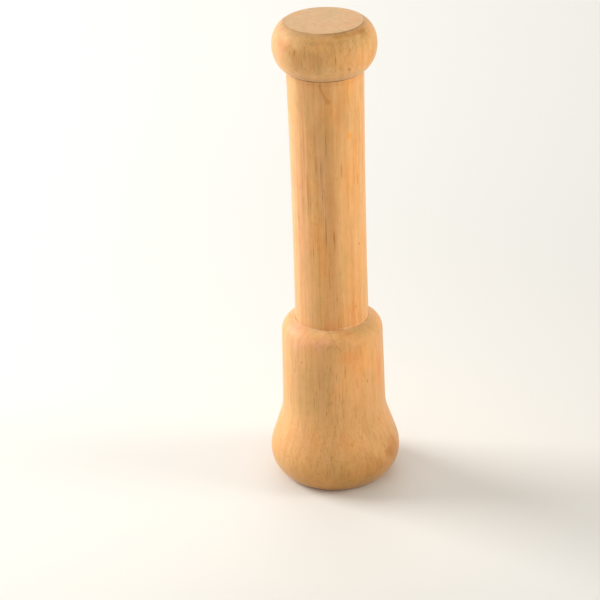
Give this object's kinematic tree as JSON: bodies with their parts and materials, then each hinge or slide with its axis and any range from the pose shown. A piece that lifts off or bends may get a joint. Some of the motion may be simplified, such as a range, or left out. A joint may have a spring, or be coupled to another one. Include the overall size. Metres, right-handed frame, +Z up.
{
  "type": "pastry tamper",
  "caption": "Turned hardwood pastry tamper: a bell-shaped pressing head, a straight round handle and a rounded grip knob, joined by hidden glued dowels.",
  "frame": {"origin": "centre of the flat foot of the pressing head, on the surface that the tamper stands on", "axes": "+Z up along the turning axis, from the pressing head to the grip knob; the part is round about Z, so +X and +Y are free"},
  "size_m": [0.0716, 0.0716, 0.265],
  "materials": {
    "head_wood": "fine-sanded bare hardwood, satin, with short dark pores",
    "shaft_wood": "fine-sanded bare hardwood, satin, with long dark pores along the grain",
    "knob_wood": "fine-sanded bare hardwood, satin, with dark grain streaks",
    "dowel_wood": "plain hardwood dowel rod with pressed glue flutes"
  },
  "bodies": {
    "root": {"tamper_head": "head_wood", "handle_shaft": "shaft_wood", "grip_knob": "knob_wood", "head_dowel": "dowel_wood", "knob_dowel": "dowel_wood"}
  },
  "joints": []
}
